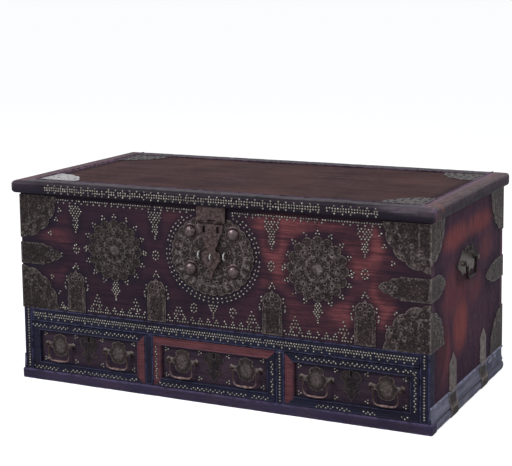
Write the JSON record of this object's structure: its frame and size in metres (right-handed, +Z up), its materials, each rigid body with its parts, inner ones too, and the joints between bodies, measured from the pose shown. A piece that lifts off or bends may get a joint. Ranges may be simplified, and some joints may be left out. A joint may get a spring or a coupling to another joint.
{
  "type": "dowry chest",
  "caption": "Low hardwood dowry chest with a hinged lid, deep compartment, full-depth drawers, pierced brass plates and nail rows.",
  "frame": {"origin": "on the floor, under the middle of the overall width and depth", "axes": "+X right seen from the front, -Y front, +Z up"},
  "size_m": [1.2768, 0.6778, 0.5853],
  "materials": {
    "panel_wood": "old red-brown varnish, worn",
    "frame_wood": "near-black paint over hardwood",
    "inner_wood": "bare, dry",
    "lid_wood": "dark varnish, worn and dusty",
    "drawer_wood": "dark varnish, rubbed at the edges",
    "sheet_brass": "dull brown patina",
    "nail_brass": "rubbed bright on the crowns",
    "cast_brass": "brown patina, rubbed by hands",
    "dark_iron": "rusted black"
  },
  "bodies": {
    "case": {"front_board": "panel_wood", "back_board": "panel_wood", "left_side_board": "panel_wood", "right_side_board": "panel_wood", "compartment_floor": "inner_wood", "base_board": "inner_wood", "mid_rail": "frame_wood", "front_stiles": "frame_wood", "drawer_partitions": "frame_wood", "till_boards": "inner_wood", "base_rail": "frame_wood", "side_plinths": "frame_wood", "foot_straps": "sheet_brass", "right_front_corner_brass": "sheet_brass", "left_front_corner_brass": "sheet_brass", "right_back_corner_brass": "sheet_brass", "left_back_corner_brass": "sheet_brass", "lock_plate": "sheet_brass", "lock_bosses": "sheet_brass", "lock_staples": "cast_brass", "rosettes": "sheet_brass", "arch_plates": "sheet_brass", "box_lock": "dark_iron", "handle_plates": "sheet_brass", "case_hinge_leaves": "dark_iron", "hinge_pins": "dark_iron", "case_nails": "nail_brass"},
    "lid": {"lid_board": "lid_wood", "lid_rear_strip": "lid_wood", "lid_front_moulding": "lid_wood", "lid_end_mouldings": "lid_wood", "lid_corner_plates": "sheet_brass", "lid_hinge_leaves": "dark_iron", "lid_nails": "nail_brass", "hasp_leaf": "cast_brass", "hasp_pin": "cast_brass"},
    "hasp": {"hasp": "cast_brass"},
    "left_drawer": {"left_drawer_front": "drawer_wood", "left_drawer_box": "inner_wood", "left_drawer_bottom": "inner_wood", "left_drawer_fittings": "sheet_brass", "left_drawer_moulding": "drawer_wood"},
    "left_drawer_left_bail": {"left_drawer_left_bail": "cast_brass"},
    "left_drawer_right_bail": {"left_drawer_right_bail": "cast_brass"},
    "middle_drawer": {"middle_drawer_front": "drawer_wood", "middle_drawer_box": "inner_wood", "middle_drawer_bottom": "inner_wood", "middle_drawer_fittings": "sheet_brass", "middle_drawer_moulding": "drawer_wood"},
    "middle_drawer_left_bail": {"middle_drawer_left_bail": "cast_brass"},
    "middle_drawer_right_bail": {"middle_drawer_right_bail": "cast_brass"},
    "right_drawer": {"right_drawer_front": "drawer_wood", "right_drawer_box": "inner_wood", "right_drawer_bottom": "inner_wood", "right_drawer_fittings": "sheet_brass", "right_drawer_moulding": "drawer_wood"},
    "right_drawer_left_bail": {"right_drawer_left_bail": "cast_brass"},
    "right_drawer_right_bail": {"right_drawer_right_bail": "cast_brass"},
    "left_side_handle": {"left_side_handle": "cast_brass"},
    "right_side_handle": {"right_side_handle": "cast_brass"}
  },
  "joints": [
    {"name": "lid_hinge", "type": "hinge", "parent": "case", "child": "lid", "pos_m": [0, 0.3334, 0.5503], "axis": [-1, 0, 0], "range_deg": [0, 95]},
    {"name": "hasp_hinge", "type": "hinge", "parent": "lid", "child": "hasp", "pos_m": [0.005, -0.32675, 0.5073], "axis": [-1, 0, 0], "range_deg": [0, 100]},
    {"name": "left_drawer_slide", "type": "slide", "parent": "case", "child": "left_drawer", "axis": [0, -1, 0], "range_m": [0, 0.42]},
    {"name": "left_drawer_left_bail_swing", "type": "hinge", "parent": "left_drawer", "child": "left_drawer_left_bail", "pos_m": [-0.50142, -0.3215, 0.105], "axis": [-1, 0, 0], "range_deg": [0, 90]},
    {"name": "left_drawer_right_bail_swing", "type": "hinge", "parent": "left_drawer", "child": "left_drawer_right_bail", "pos_m": [-0.30525, -0.3215, 0.105], "axis": [-1, 0, 0], "range_deg": [0, 90]},
    {"name": "middle_drawer_slide", "type": "slide", "parent": "case", "child": "middle_drawer", "axis": [0, -1, 0], "range_m": [0, 0.42]},
    {"name": "middle_drawer_left_bail_swing", "type": "hinge", "parent": "middle_drawer", "child": "middle_drawer_left_bail", "pos_m": [-0.09808, -0.3215, 0.105], "axis": [-1, 0, 0], "range_deg": [0, 90]},
    {"name": "middle_drawer_right_bail_swing", "type": "hinge", "parent": "middle_drawer", "child": "middle_drawer_right_bail", "pos_m": [0.09808, -0.3215, 0.105], "axis": [-1, 0, 0], "range_deg": [0, 90]},
    {"name": "right_drawer_slide", "type": "slide", "parent": "case", "child": "right_drawer", "axis": [0, -1, 0], "range_m": [0, 0.42]},
    {"name": "right_drawer_left_bail_swing", "type": "hinge", "parent": "right_drawer", "child": "right_drawer_left_bail", "pos_m": [0.30525, -0.3215, 0.105], "axis": [-1, 0, 0], "range_deg": [0, 90]},
    {"name": "right_drawer_right_bail_swing", "type": "hinge", "parent": "right_drawer", "child": "right_drawer_right_bail", "pos_m": [0.50142, -0.3215, 0.105], "axis": [-1, 0, 0], "range_deg": [0, 90]},
    {"name": "left_side_handle_swing", "type": "hinge", "parent": "case", "child": "left_side_handle", "pos_m": [-0.6325, -0.0155, 0.395], "axis": [0, 1, 0], "range_deg": [0, 90]},
    {"name": "right_side_handle_swing", "type": "hinge", "parent": "case", "child": "right_side_handle", "pos_m": [0.6325, -0.0155, 0.395], "axis": [0, -1, 0], "range_deg": [0, 90]}
  ]
}
